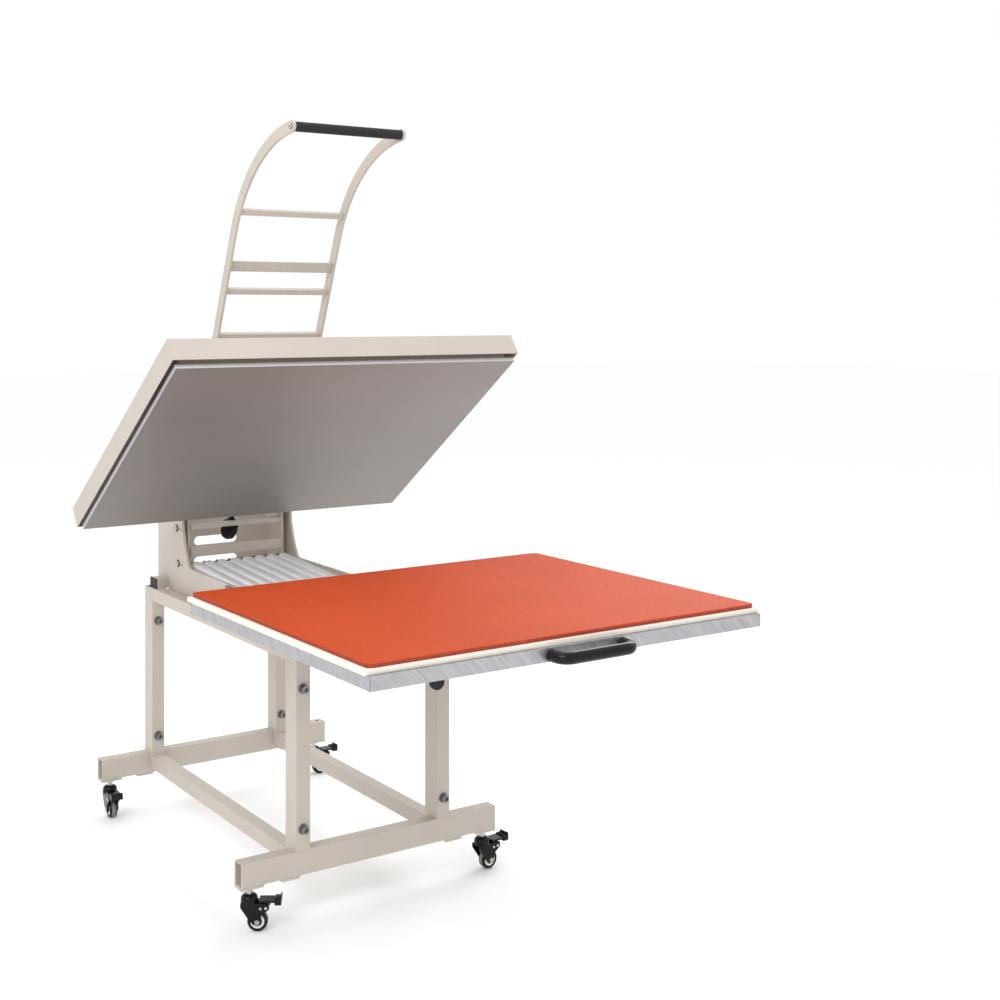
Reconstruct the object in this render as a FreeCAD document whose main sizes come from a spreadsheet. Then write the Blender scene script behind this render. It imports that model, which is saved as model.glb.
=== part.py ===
import FreeCAD, Part
import math
import os
import re
import Sketcher
from FreeCAD import Placement, Rotation, Vector

# Large-format heat press on a castored stand: a pull-out lower tray with a silicone pad, a tilting
# heated head that opens like a clamshell, a tall curved ladder handle, counterbalance springs.
# Millimetres, +Z up, X across the press, -Y towards the operator, floor at Z 0.
# Shown open: head tilted back, tray pulled out.

DIMENSIONS = {
    # stand, measured from the front face of the front foot
    "stand_y": -53.1,            # where that front face lies in the part's frame
    "foot_length": 743,
    "foot_deep": 38,
    "foot_tall": 60,
    "foot_bottom": 109.5,
    "rear_foot_y": 942,
    "tube": 38,                  # outer size of the square post and rail tubes
    "upright_deep": 20,
    "wall": 3,
    "post_x": 205,
    "rail_top": 663,
    "rail_bottom": 125,
    "bolt_low": 222,
    "bolt_high": 565,
    "bolt_radius": 6,
    "bolt_head_radius": 9.5,
    "bolt_head_tall": 12,
    "washer_radius": 13,
    "washer_thick": 2.5,
    "plate_thick": 6,
    "caster_plate_long": 60,
    "level_plate_x": 238,
    "level_plate_long": 48,
    "level_hole_radius": 5,
    # yoke
    "yoke_inner": 172,
    "yoke_thick": 8,
    "yoke_bottom": 655,
    "yoke_rear": 985,
    "yoke_shelf": 738,
    "cross_half": 215,
    "cross_deep": 50,
    "cross_tall": 30,
    "front_cross_y": 60,
    "rear_cross_y": 905,
    "back_plate_y": 965,
    "slot_half": 71.5,
    "slot_tall": 27,
    "slot_low": 722.5,
    "slot_pitch": 62,
    # head pivot and head, the head's own sizes given in its closed pose from the pivot axis
    "pivot_y": 839,
    "pivot_z": 920,
    "pin_radius": 10,
    "running": 0.05,
    "head_tilt": 35.6,
    "face_rear": -61,
    "face_z": -86.5,
    "plate_width": 1000,
    "plate_deep": 800,
    "heat_plate_thick": 12,
    "casing_half": 510,
    "casing_rear": -47,
    "casing_deep": 829,
    "casing_bottom": -71.4,
    "casing_top": -10,
    "sheet": 2,
    "arm_inner": 149,
    "arm_thick": 8,
    # springs
    "spring_count": 8,
    "spring_pitch": 40.5,
    "spring_radius": 14,
    "spring_length": 420,
    "spring_drop": 3.4,
    "spring_bar_y": 822,
    "spring_bar_z": 738,
    "spring_bar_radius": 7,
    # drawer
    "travel": 775,
    "tray_half": 505,
    "tray_front": -829,
    "tray_deep": 815,
    "tray_bottom": 784,
    "tray_tall": 29,
    "tray_skin": 3,
    "felt_half": 513,
    "felt_front": -821,
    "felt_deep": 819,
    "felt_thick": 11,
    "pad_half": 502,
    "pad_front": -816,
    "pad_deep": 812,
    "pad_thick": 9,
    "pad_corner": 14,
    "slide_length": 725,
    "fixed_length": 480,
    "runner_length": 380,
    "slide_front": 10,
    "slide_bottom": 694.5,
    "slide_tall": 42,
    "slide_thick": 8,
    "slide_gap": 0.5,
    "bow_x": 10,
    "bow_half": 93,
    "bow_reach": 40.5,
    "bow_bend": 24,
    "bow_radius": 13,
    # ladder handle
    "hinge_y": 760,
    "hinge_z": 1029,
    "lever_lean": 22.1,
    "lever_straight": 728,
    "lever_bend": 410,
    "lever_turn": 63.4,
    "lever_wide": 32,
    "lever_thick": 7,
    "lever_inner": 160,
    "shaft_radius": 12,
    "rung": 16,
    "wide_rung_tall": 30,
    "wide_rung_thick": 6,
    "grip_radius": 13,
    # casters
    "caster_x": 341,
    "caster_trail": 20,
    "turn_front_left": -33,      # each caster's trailing direction, turned from +X
    "turn_front_right": 4,
    "turn_rear_left": -95,
    "turn_rear_right": 0,
    "wheel_radius": 25,
    "wheel_half": 11,
    "axle_radius": 4,
    "stem_radius": 6,
    "fork_gap": 13,
    "fork_skin": 4,
    "cup_radius": 20.5,
    "cup_bottom": 67,
    "cup_top": 88,
    "pedal_pivot_x": 41,
    "pedal_pivot_z": 59,
    "pedal_reach": 78,
    "pedal_half": 17,
    # yoke screws, listed as height and place along the yoke
    "screw_high_y": 843,
    "screw_high_z": 849,
    "screw_low_y": 832,
    "screw_low_z": 747,
    "screw_radius": 9,
    # bars between the head arms, and the pressure adjuster
    "bar_y": 808,
    "top_bar_deep": 26,
    "top_bar_tall": 14,
    "top_bar_z": 846,
    "mid_bar_tall": 29,
    "mid_bar_z": 766,
    "bridge_y": 834,
    "bridge_z": 888,
    "bridge_side": 24,
    "knob_lean": 29,
    "rod_radius": 6,
    # rubber bumper on the right front post
    "bumper_radius": 20.5,
    "bumper_thick": 12,
    "bumper_z": 528,
    # heating layers inside the casing
    "element_inset": 12,
    "element_thick": 5,
    "wool_inset": 15,
    "wool_thick": 34,
    # control box on top of the head
    "box_x": 250,
    "box_wide": 190,
    "box_deep": 130,
    "box_tall": 62,
    "box_y": -420,
    "switch_x": 20,
    "switch_wide": 22,
    "switch_tall": 28,
    "switch_z": 17,
    "button_inset": 30,
    "button_radius": 8,
}

doc = FreeCAD.newDocument("HeatPress")
sheet = doc.addObject("Spreadsheet::Sheet", "Dims")
for row, (alias, size) in enumerate(DIMENSIONS.items(), start=1):
    sheet.set("A%d" % row, alias)
    sheet.set("B%d" % row, str(size))
    sheet.setAlias("B%d" % row, alias)
doc.recompute()

NODES = []
AXIS_TURN = {
    "X": Rotation(Vector(0, 1, 0), 90),
    "Y": Rotation(Vector(1, 0, 0), -90),
    "Z": Rotation(),
}
PLANE_FOR_AXIS = {"X": "YZ_Plane", "Y": "XZ_Plane", "Z": "XY_Plane"}


def cells(text):
    """The formula with each dimension's name pointing at its spreadsheet cell."""
    def point(match):
        word = match.group()
        return "Dims." + word if word in DIMENSIONS else word
    return re.sub(r"[a-z_]+", point, str(text))


def number(text):
    return float(sheet.evalExpression("(" + cells(text) + ") * 1"))


def bind(obj, prop, text):
    obj.setExpression(prop, cells(text))


def place(obj, x="0", y="0", z="0", turn=Rotation()):
    obj.Placement = Placement(Vector(), turn)
    bind(obj, "Placement.Base.x", x)
    bind(obj, "Placement.Base.y", y)
    bind(obj, "Placement.Base.z", z)
    return obj


def on_head(obj, x, y, z, turn=Rotation()):
    """Place by closed-pose coordinates from the pivot axis, then tip back with the open head."""
    tip = Rotation(Vector(1, 0, 0), -number("head_tilt"))
    back = "stand_y + pivot_y + (%s) * cos(head_tilt * 1 deg) + (%s) * sin(head_tilt * 1 deg)"
    rise = "pivot_z - (%s) * sin(head_tilt * 1 deg) + (%s) * cos(head_tilt * 1 deg)"
    return place(obj, x, back % (y, z), rise % (y, z), tip.multiply(turn))


def node(obj, name):
    obj.Label = name
    NODES.append(obj)
    return obj


def box(name, length, width, height):
    obj = doc.addObject("Part::Box", name)
    bind(obj, "Length", length)
    bind(obj, "Width", width)
    bind(obj, "Height", height)
    return obj


def cylinder(name, radius, height):
    obj = doc.addObject("Part::Cylinder", name)
    bind(obj, "Radius", radius)
    bind(obj, "Height", height)
    return obj


def cut(name, base, tool):
    obj = doc.addObject("Part::Cut", name)
    obj.Base = base
    obj.Tool = tool
    return obj


def fuse(name, shapes):
    obj = doc.addObject("Part::MultiFuse", name)
    obj.Shapes = shapes
    return obj


def group(name, shapes):
    obj = doc.addObject("Part::Compound", name)
    obj.Links = shapes
    return obj


def mirrored(name, source):
    obj = doc.addObject("Part::Mirroring", name)
    obj.Source = source
    obj.Normal = Vector(1, 0, 0)
    obj.Base = Vector()
    return obj


def sketch_on(body, axis, name):
    plane = [f for f in body.Origin.OriginFeatures if f.Role == PLANE_FOR_AXIS[axis]][0]
    sketch = body.newObject("Sketcher::SketchObject", name)
    sketch.AttachmentSupport = [(plane, "")]
    sketch.MapMode = "FlatFace"
    return sketch


def fix_point(sketch, geometry, end, x, y):
    for kind, text in (("DistanceX", x), ("DistanceY", y)):
        index = sketch.addConstraint(Sketcher.Constraint(kind, -1, 1, geometry, end, number(text)))
        sketch.setExpression("Constraints[%d]" % index, cells("(%s) * 1 mm" % text))


def outline(sketch, points):
    """A closed run of straight lines whose corners are bound to formulas."""
    spots = [Vector(number(x), number(y), 0) for x, y in points]
    first = sketch.GeometryCount
    count = len(points)
    for i in range(count):
        sketch.addGeometry(Part.LineSegment(spots[i], spots[(i + 1) % count]), False)
    for i in range(count):
        joined = Sketcher.Constraint("Coincident", first + i, 2, first + (i + 1) % count, 1)
        sketch.addConstraint(joined)
    for i, (x, y) in enumerate(points):
        fix_point(sketch, first + i, 1, x, y)


def rectangle(sketch, width, height):
    corners = [(-0.5, -0.5), (0.5, -0.5), (0.5, 0.5), (-0.5, 0.5)]
    points = [("%s * (%s)" % (a, width), "%s * (%s)" % (b, height)) for a, b in corners]
    outline(sketch, points)


def circle(sketch, x, y, radius):
    spot = Vector(number(x), number(y), 0)
    index = sketch.addGeometry(Part.Circle(spot, Vector(0, 0, 1), number(radius)), False)
    fix_point(sketch, index, 3, x, y)
    size = sketch.addConstraint(Sketcher.Constraint("Radius", index, number(radius)))
    sketch.setExpression("Constraints[%d]" % size, cells("(%s) * 1 mm" % radius))


def pad(body, sketch, length, middle=True, back=False):
    feature = body.newObject("PartDesign::Pad", body.Name + "Pad")
    feature.Profile = sketch
    bind(feature, "Length", length)
    feature.Midplane = middle
    feature.Reversed = back
    sketch.Visibility = False
    return feature


def drill(body, sketch):
    """Cut a sketch right through the body, both ways, and make sure that it did cut."""
    doc.recompute()
    before = body.Shape.Volume
    feature = body.newObject("PartDesign::Pocket", body.Name + "Pocket")
    feature.Profile = sketch
    feature.Type = "ThroughAll"
    feature.Midplane = True
    doc.recompute()
    assert body.Shape.Volume < before - 1, body.Label
    return feature


def round_edges(body, feature, radius, wanted):
    doc.recompute()
    names = ["Edge%d" % (i + 1) for i, e in enumerate(feature.Shape.Edges) if wanted(e)]
    assert names, body.Label
    fillet = body.newObject("PartDesign::Fillet", body.Name + "Fillet")
    fillet.Base = (feature, names)
    bind(fillet, "Radius", radius)
    return fillet


def tube(name, axis, length, width, height, bolts=()):
    """A square tube with open ends, centred on its body's origin, drilled along Y at each height."""
    body = doc.addObject("PartDesign::Body", name)
    sketch = sketch_on(body, axis, name + "Section")
    rectangle(sketch, width, height)
    rectangle(sketch, "%s - 2 * wall" % width, "%s - 2 * wall" % height)
    pad(body, sketch, length)
    if bolts:
        holes = sketch_on(body, "Y", name + "Holes")
        for high in bolts:
            circle(holes, "0", high, "bolt_radius + 0.2")
        drill(body, holes)
    return body


def pair(name, right):
    return node(group(name, [right, mirrored(name + "_other", right)]), name)


# Feet: open-ended rectangular tubes across the stand
def foot(name, front):
    body = tube(name, "X", "foot_length", "foot_deep", "foot_tall")
    place(body, "0", "stand_y + %s + foot_deep / 2" % front, "foot_bottom + foot_tall / 2")
    return node(body, name)


foot("front_foot", "0")
foot("rear_foot", "rear_foot_y")


# Welded plates under the feet: an outer one for each caster stem, an inner one with a tapped hole
def foot_plate(name, x, y, long, bore):
    slab = box(name + "Slab", long, "foot_deep", "plate_thick")
    place(slab, "%s - (%s) / 2" % (x, long), "stand_y + %s" % y, "foot_bottom - plate_thick")
    hole = cylinder(name + "Hole", bore, "plate_thick * 2")
    place(hole, x, "stand_y + %s + foot_deep / 2" % y, "foot_bottom - plate_thick * 1.5")
    return cut(name, slab, hole)


right_plates = []
for end, y in (("Front", "0"), ("Rear", "rear_foot_y")):
    right_plates.append(
        foot_plate("CasterPlate" + end, "caster_x", y, "caster_plate_long", "stem_radius + 0.2"))
    right_plates.append(
        foot_plate("LevelPlate" + end, "level_plate_x", y, "level_plate_long", "level_hole_radius"))
left_plates = [mirrored(p.Name + "Left", p) for p in right_plates]
node(group("foot_plates", right_plates + left_plates), "foot_plates")

# Posts stand on the feet; the side frames of uprights and rails are bolted between them
POST_MIDDLE = "(rail_top + foot_bottom + foot_tall) / 2"
POST_BOLTS = ("bolt_low - " + POST_MIDDLE, "bolt_high - " + POST_MIDDLE)
for name, y in (("front_posts", "tube / 2"), ("rear_posts", "rear_foot_y + tube / 2")):
    post = tube(name + "_right", "Z", "rail_top - foot_bottom - foot_tall", "tube", "tube", POST_BOLTS)
    place(post, "post_x", "stand_y + " + y, POST_MIDDLE)
    pair(name, post)

UPRIGHT_MIDDLE = "(rail_top + rail_bottom) / 2"
UPRIGHT_BOLTS = ("bolt_low - " + UPRIGHT_MIDDLE, "bolt_high - " + UPRIGHT_MIDDLE)
for side, sign in (("left", "-1"), ("right", "1")):
    uprights = []
    for end, y in (("front", "tube + upright_deep / 2"), ("rear", "rear_foot_y - upright_deep / 2")):
        upright = tube(
            side + "_upright_" + end, "Z", "rail_top - rail_bottom - 2 * tube", "tube", "upright_deep",
            UPRIGHT_BOLTS)
        uprights.append(place(upright, sign + " * post_x", "stand_y + " + y, UPRIGHT_MIDDLE))
    node(group(side + "_uprights", uprights), side + "_uprights")
    rails = []
    for level, z in (("top", "rail_top - tube / 2"), ("bottom", "rail_bottom + tube / 2")):
        rail = tube(side + "_rail_" + level, "Y", "rear_foot_y - tube", "tube", "tube")
        rails.append(place(rail, sign + " * post_x", "stand_y + (rear_foot_y + tube) / 2", z))
    node(group(side + "_rails", rails), side + "_rails")


# Frame bolts along Y: washer, socket head, shank through post and upright, nut behind
def frame_bolt(name, head_y, z):
    head = cylinder(name + "Head", "bolt_head_radius", "bolt_head_tall")
    place(head, "post_x", "stand_y + %s - washer_thick - bolt_head_tall" % head_y, z, AXIS_TURN["Y"])
    socket = doc.addObject("Part::Prism", name + "Socket")
    socket.Polygon = 6
    bind(socket, "Circumradius", "bolt_radius * 0.95")
    bind(socket, "Height", "bolt_head_tall")
    socket_y = "stand_y + %s - washer_thick - bolt_head_tall * 1.5" % head_y
    place(socket, "post_x", socket_y, z, AXIS_TURN["Y"])
    washer = cylinder(name + "Washer", "washer_radius", "washer_thick")
    place(washer, "post_x", "stand_y + %s - washer_thick" % head_y, z, AXIS_TURN["Y"])
    shank = cylinder(name + "Shank", "bolt_radius", "tube + upright_deep + bolt_radius * 1.95")
    place(shank, "post_x", "stand_y + %s" % head_y, z, AXIS_TURN["Y"])
    nut = doc.addObject("Part::Prism", name + "Nut")
    nut.Polygon = 6
    bind(nut, "Circumradius", "bolt_head_radius * 1.15")
    bind(nut, "Height", "bolt_radius * 1.6")
    place(nut, "post_x", "stand_y + %s + tube + upright_deep" % head_y, z, AXIS_TURN["Y"])
    return fuse(name, [cut(name + "HeadCut", head, socket), washer, shank, nut])


right_bolts = []
for end, y in (("Front", "0"), ("Rear", "rear_foot_y - upright_deep")):
    for level in ("low", "high"):
        right_bolts.append(frame_bolt("Bolt" + end + level, y, "bolt_" + level))
left_bolts = [mirrored(b.Name + "Left", b) for b in right_bolts]
node(group("frame_bolts", right_bolts + left_bolts), "frame_bolts")

# Round rubber bumper at the inner corner of the right front post
bumper = cylinder("rubber_bumper", "bumper_radius", "bumper_thick")
bumper_x = "post_x - (tube + wall + 7) / 2"
node(place(bumper, bumper_x, "stand_y - bumper_thick", "bumper_z", AXIS_TURN["Y"]), "rubber_bumper")

# Cross tubes on top of the side frames, closed at their ends by plastic caps
for name, y in (("front_cross_tube", "front_cross_y"), ("rear_cross_tube", "rear_cross_y")):
    cross = tube(name, "X", "2 * cross_half", "cross_deep", "cross_tall")
    node(place(cross, "0", "stand_y + %s + cross_deep / 2" % y, "rail_top + cross_tall / 2"), name)
caps = []
for end, y in (("Front", "front_cross_y"), ("Rear", "rear_cross_y")):
    cap = box("Cap" + end, "wall", "cross_deep", "cross_tall")
    caps.append(place(cap, "cross_half", "stand_y + " + y, "rail_top"))
node(group("tube_caps", caps + [mirrored(c.Name + "Left", c) for c in caps]), "tube_caps")

# Yoke side plates: a low shelf that carries the drawer rails, a tall rear part for the head pivot
YOKE_OUTLINE = [
    ("yoke_rear", "yoke_bottom"), ("yoke_rear", "pivot_z - 55"), ("pivot_y + 42", "pivot_z + 40"),
    ("pivot_y - 24", "pivot_z + 40"), ("pivot_y - 38", "pivot_z - 75"),
    ("pivot_y - 59", "tray_bottom"), ("pivot_y - 83", "yoke_shelf + 4"), ("tube", "yoke_shelf"),
    ("tube / 2", "yoke_shelf - tube"), ("tube / 2", "yoke_bottom"),
    ("front_cross_y", "yoke_bottom"), ("front_cross_y", "rail_top + cross_tall"),
    ("front_cross_y + cross_deep", "rail_top + cross_tall"),
    ("front_cross_y + cross_deep", "yoke_bottom"),
    ("rear_cross_y", "yoke_bottom"), ("rear_cross_y", "rail_top + cross_tall"),
    ("rear_cross_y + cross_deep", "rail_top + cross_tall"),
    ("rear_cross_y + cross_deep", "yoke_bottom"),
]


def yoke_plate(name, sign):
    body = doc.addObject("PartDesign::Body", name)
    sketch = sketch_on(body, "X", name + "Outline")
    outline(sketch, YOKE_OUTLINE)
    feature = pad(body, sketch, "yoke_thick")
    corner_y = number("pivot_y - 83")
    corner_z = number("yoke_shelf + 4")

    def at_knee(edge):
        middle = edge.BoundBox.Center
        return abs(middle.y - corner_y) < 1 and abs(middle.z - corner_z) < 1

    def at_crown(edge):
        middle = edge.BoundBox.Center
        across = edge.BoundBox.XLength > 1
        return across and middle.z > number("pivot_z - 60")

    feature = round_edges(body, feature, "24", at_knee)
    round_edges(body, feature, "16", at_crown)
    bore = sketch_on(body, "X", name + "Bore")
    circle(bore, "pivot_y", "pivot_z", "pin_radius")
    drill(body, bore)
    return node(place(body, "%s * (yoke_inner + yoke_thick / 2)" % sign, "stand_y"), name)


yoke_plate("yoke_left", "-1")
yoke_plate("yoke_right", "1")

# Back plate of the yoke with two long slots
back = doc.addObject("PartDesign::Body", "back_plate")
back_sketch = sketch_on(back, "Y", "BackOutline")
outline(back_sketch, [
    ("-yoke_inner", "yoke_bottom"), ("yoke_inner", "yoke_bottom"),
    ("yoke_inner", "pivot_z - 60"), ("-yoke_inner", "pivot_z - 60")])
pad(back, back_sketch, "plate_thick")
slots = sketch_on(back, "Y", "BackSlots")
for lift in ("0", "slot_pitch"):
    reach = "slot_half - slot_tall / 2"
    middle = "slot_low + " + lift
    outline(slots, [
        ("-(%s)" % reach, middle + " - slot_tall / 2"), (reach, middle + " - slot_tall / 2"),
        (reach, middle + " + slot_tall / 2"), ("-(%s)" % reach, middle + " + slot_tall / 2")])
drill(back, slots)
slot_ends = sketch_on(back, "Y", "BackSlotEnds")
for lift in ("0", "slot_pitch"):
    for sign in ("-1", "1"):
        circle(slot_ends, sign + " * (slot_half - slot_tall / 2)", "slot_low + " + lift, "slot_tall / 2")
drill(back, slot_ends)
node(place(back, "0", "stand_y + back_plate_y + plate_thick / 2"), "back_plate")

# Pivot pins: a headed pin through each yoke plate into the head arm, with a spacer collar
pin = cylinder("PinShank", "pin_radius", "yoke_inner + yoke_thick - arm_inner + 6")
place(pin, "arm_inner - 6", "stand_y + pivot_y", "pivot_z", AXIS_TURN["X"])
pin_head = cylinder("PinHead", "pin_radius * 1.7", "8")
place(pin_head, "yoke_inner + yoke_thick", "stand_y + pivot_y", "pivot_z", AXIS_TURN["X"])
collar = cylinder("PinCollar", "pin_radius * 1.5", "yoke_inner - arm_inner - arm_thick - slide_gap")
collar_x = "arm_inner + arm_thick + slide_gap"
place(collar, collar_x, "stand_y + pivot_y", "pivot_z", AXIS_TURN["X"])
pair("pivot_pins", fuse("PivotPin", [pin, pin_head, collar]))

# Button-headed screws on the outside of the yoke plates
screws = []
for level in ("high", "low"):
    y = "stand_y + screw_%s_y" % level
    z = "screw_%s_z" % level
    dome = doc.addObject("Part::Sphere", "YokeScrewDome" + level)
    bind(dome, "Radius", "screw_radius + 3")
    place(dome, "yoke_inner + yoke_thick - screw_radius * 2 / 3", y, z)
    keep = cylinder("YokeScrewRim" + level, "screw_radius", "screw_radius + 3")
    place(keep, "yoke_inner + yoke_thick", y, z, AXIS_TURN["X"])
    screw = doc.addObject("Part::Common", "YokeScrew" + level)
    screw.Base = dome
    screw.Tool = keep
    screws.append(screw)
node(group("yoke_screws", screws + [mirrored(s.Name + "Left", s) for s in screws]), "yoke_screws")


# Head arms: plates beside the casing, with a rib along its top and a leg down to the spring bar
HEAD_ARM = [
    ("casing_rear - 300", "casing_top"), ("casing_rear - 300", "casing_top + 22"),
    ("-185", "casing_top + 32"), ("-150", "70"), ("-106", "70"), ("-70", "44"), ("18", "34"),
    ("36", "8"), ("106", "-138"), ("96", "-180"), ("74", "-180"), ("72", "-146"), ("12", "-56"),
    ("casing_rear + 6", "casing_top"),
]
HINGE_SPOT = "((hinge_y - pivot_y) * %s(head_tilt * 1 deg) %s (hinge_z - pivot_z) * %s(head_tilt * 1 deg))"
HINGE_Y = HINGE_SPOT % ("cos", "-", "sin")
HINGE_Z = HINGE_SPOT % ("sin", "+", "cos")


def head_arm(name, sign):
    body = doc.addObject("PartDesign::Body", name)
    sketch = sketch_on(body, "X", name + "Outline")
    outline(sketch, HEAD_ARM)
    pad(body, sketch, "arm_thick")
    bores = sketch_on(body, "X", name + "Bores")
    circle(bores, "0", "0", "pin_radius + running")
    circle(bores, HINGE_Y, HINGE_Z, "shaft_radius + running")
    drill(body, bores)
    return node(on_head(body, "%s * (arm_inner + arm_thick / 2)" % sign, "0", "0"), name)


head_arm("head_arm_left", "-1")
head_arm("head_arm_right", "1")

# Bars between the head arms, lying level while the head is open
top_bar = box("TopBarBlank", "2 * arm_inner", "top_bar_deep", "top_bar_tall")
place(top_bar, "-arm_inner", "stand_y + bar_y", "top_bar_z")
rounded = doc.addObject("Part::Fillet", "top_bar")
rounded.Base = top_bar
doc.recompute()
long_edges = [i + 1 for i, e in enumerate(top_bar.Shape.Edges) if e.BoundBox.XLength > 100]
rounded.Edges = [(i, 5.0, 5.0) for i in long_edges]
node(rounded, "top_bar")
mid_bar = box("mid_bar", "2 * arm_inner", "plate_thick", "mid_bar_tall")
node(place(mid_bar, "-arm_inner", "stand_y + bar_y", "mid_bar_z"), "mid_bar")
spring_bar = cylinder("spring_bar", "spring_bar_radius", "2 * arm_inner")
place(spring_bar, "-arm_inner", "stand_y + spring_bar_y", "spring_bar_z", AXIS_TURN["X"])
node(spring_bar, "spring_bar")

# Counterbalance springs, each a coil body with an end loop round the bar and round the anchor
SPRING_REAR = "spring_bar_y - spring_bar_radius - 22"
SPRING_FRONT = "(%s) - spring_length * cos(spring_drop * 1 deg)" % SPRING_REAR
FRONT_Z = "spring_bar_z - spring_length * sin(spring_drop * 1 deg)"
ANCHOR_Y = "(%s) - spring_bar_radius - 16" % SPRING_FRONT
lie = Rotation(Vector(1, 0, 0), 90 + number("spring_drop"))
springs = []
for i in range(int(number("spring_count"))):
    x = "(%d - (spring_count - 1) / 2) * spring_pitch" % i
    coil = cylinder("SpringCoil%d" % i, "spring_radius", "spring_length")
    place(coil, x, "stand_y + " + SPRING_REAR, "spring_bar_z", lie)
    springs.append(coil)
    for end, y, z in (("Rear", "spring_bar_y", "spring_bar_z"), ("Front", ANCHOR_Y, FRONT_Z)):
        loop = doc.addObject("Part::Torus", "SpringLoop%s%d" % (end, i))
        bind(loop, "Radius1", "spring_bar_radius + 1.8")
        bind(loop, "Radius2", "1.5")
        springs.append(place(loop, x, "stand_y + " + y, z, AXIS_TURN["X"]))
node(group("counter_springs", springs), "counter_springs")
anchor = cylinder("spring_anchor", "spring_bar_radius", "2 * yoke_inner")
place(anchor, "-yoke_inner", "stand_y + " + ANCHOR_Y, FRONT_Z, AXIS_TURN["X"])
node(anchor, "spring_anchor")

# Pressure adjuster: a square bridge between the arms, a threaded rod and a fluted knob
down = Rotation(Vector(1, 0, 0), 180 + number("knob_lean"))
square = box("BridgeBar", "2 * arm_inner", "bridge_side", "bridge_side")
place(square, "-arm_inner", "stand_y + bridge_y - bridge_side / 2", "bridge_z - bridge_side / 2")
tapped = cylinder("BridgeBore", "rod_radius + running", "2.5 * bridge_side")
swing_y = "stand_y + bridge_y - 1.25 * bridge_side * sin(knob_lean * 1 deg)"
swing_z = "bridge_z + 1.25 * bridge_side * cos(knob_lean * 1 deg)"
place(tapped, "0", swing_y, swing_z, down)
node(cut("pressure_bridge", square, tapped), "pressure_bridge")
knob = doc.addObject("PartDesign::Body", "pressure_knob")
profile = sketch_on(knob, "Y", "KnobProfile")
outline(profile, [
    ("0", "-22"), ("rod_radius", "-22"), ("rod_radius", "34"), ("14", "34"), ("24", "44"),
    ("25", "74"), ("21", "90"), ("12", "98"), ("0", "101")])
turned = knob.newObject("PartDesign::Revolution", "KnobTurned")
turned.Profile = profile
turned.ReferenceAxis = (profile, ["V_Axis"])
turned.Angle = 360
flute = sketch_on(knob, "Z", "KnobFlute")
circle(flute, "28", "0", "6")
flute_cut = drill(knob, flute)
ring = knob.newObject("PartDesign::PolarPattern", "KnobFlutes")
ring.Originals = [flute_cut]
ring.Axis = (flute, ["N_Axis"])
ring.Angle = 360
ring.Occurrences = 8
knob.Tip = ring
node(place(knob, "0", "stand_y + bridge_y", "bridge_z", down), "pressure_knob")

# Heated plate, element, insulation and casing of the head
plate = box("heat_plate", "plate_width", "plate_deep", "heat_plate_thick")
node(on_head(plate, "-plate_width / 2", "face_rear - plate_deep", "face_z"), "heat_plate")
layer_z = "face_z + heat_plate_thick"
for name, inset, thick in (("heating_element", "element_inset", "element_thick"),
                           ("insulation", "wool_inset", "wool_thick")):
    layer = box(name, "plate_width - 2 * " + inset, "plate_deep - 2 * " + inset, thick)
    on_head(layer, inset + " - plate_width / 2", "face_rear - plate_deep + " + inset, layer_z)
    node(layer, name)
    layer_z += " + " + thick
hood = box("CasingOuter", "2 * casing_half", "casing_deep", "casing_top - casing_bottom")
hollow_wide = "2 * (casing_half - sheet)"
hollow = box("CasingHollow", hollow_wide, "casing_deep - 2 * sheet", "casing_top - casing_bottom")
on_head(hood, "-casing_half", "casing_rear - casing_deep", "casing_bottom")
on_head(hollow, "sheet - casing_half", "casing_rear - casing_deep + sheet", "casing_bottom - sheet")
node(cut("casing", hood, hollow), "casing")

# Drawer: pan-shaped tray, felt board, silicone pad and bow handle
pan = box("TrayOuter", "2 * tray_half", "tray_deep", "tray_tall")
place(pan, "-tray_half", "stand_y + tray_front", "tray_bottom")
inside = box("TrayInside", "2 * (tray_half - tray_skin)", "tray_deep - 2 * tray_skin", "tray_tall")
place(inside, "tray_skin - tray_half", "stand_y + tray_front + tray_skin", "tray_bottom - tray_skin")
node(cut("tray", pan, inside), "tray")


def rounded_slab(name, half, front, deep, thick, corner, bottom):
    body = doc.addObject("PartDesign::Body", name)
    sketch = sketch_on(body, "Z", name + "Outline")
    rectangle(sketch, "2 * " + half, deep)
    feature = pad(body, sketch, thick, middle=False)

    def upright(edge):
        return edge.BoundBox.ZLength > number(thick) * 0.9 and edge.BoundBox.XLength < 1 \
            and edge.BoundBox.YLength < 1

    round_edges(body, feature, corner, upright)
    return node(place(body, "0", "stand_y + %s + %s / 2" % (front, deep), bottom), name)


rounded_slab("felt_board", "felt_half", "felt_front", "felt_deep", "felt_thick", "6",
             "tray_bottom + tray_tall")
rounded_slab("silicone_pad", "pad_half", "pad_front", "pad_deep", "pad_thick", "pad_corner",
             "tray_bottom + tray_tall + felt_thick")


def rod_path(body, axis, name, spots, arcs):
    """An open path of straight runs joined by tangent arcs, with every corner point given."""
    sketch = sketch_on(body, axis, name)
    for start, end in spots:
        sketch.addGeometry(Part.LineSegment(Vector(*start, 0), Vector(*end, 0)), False)
    for start, middle, end in arcs:
        arc = Part.Arc(Vector(*start, 0), Vector(*middle, 0), Vector(*end, 0))
        sketch.addGeometry(arc, False)
    return sketch


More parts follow.
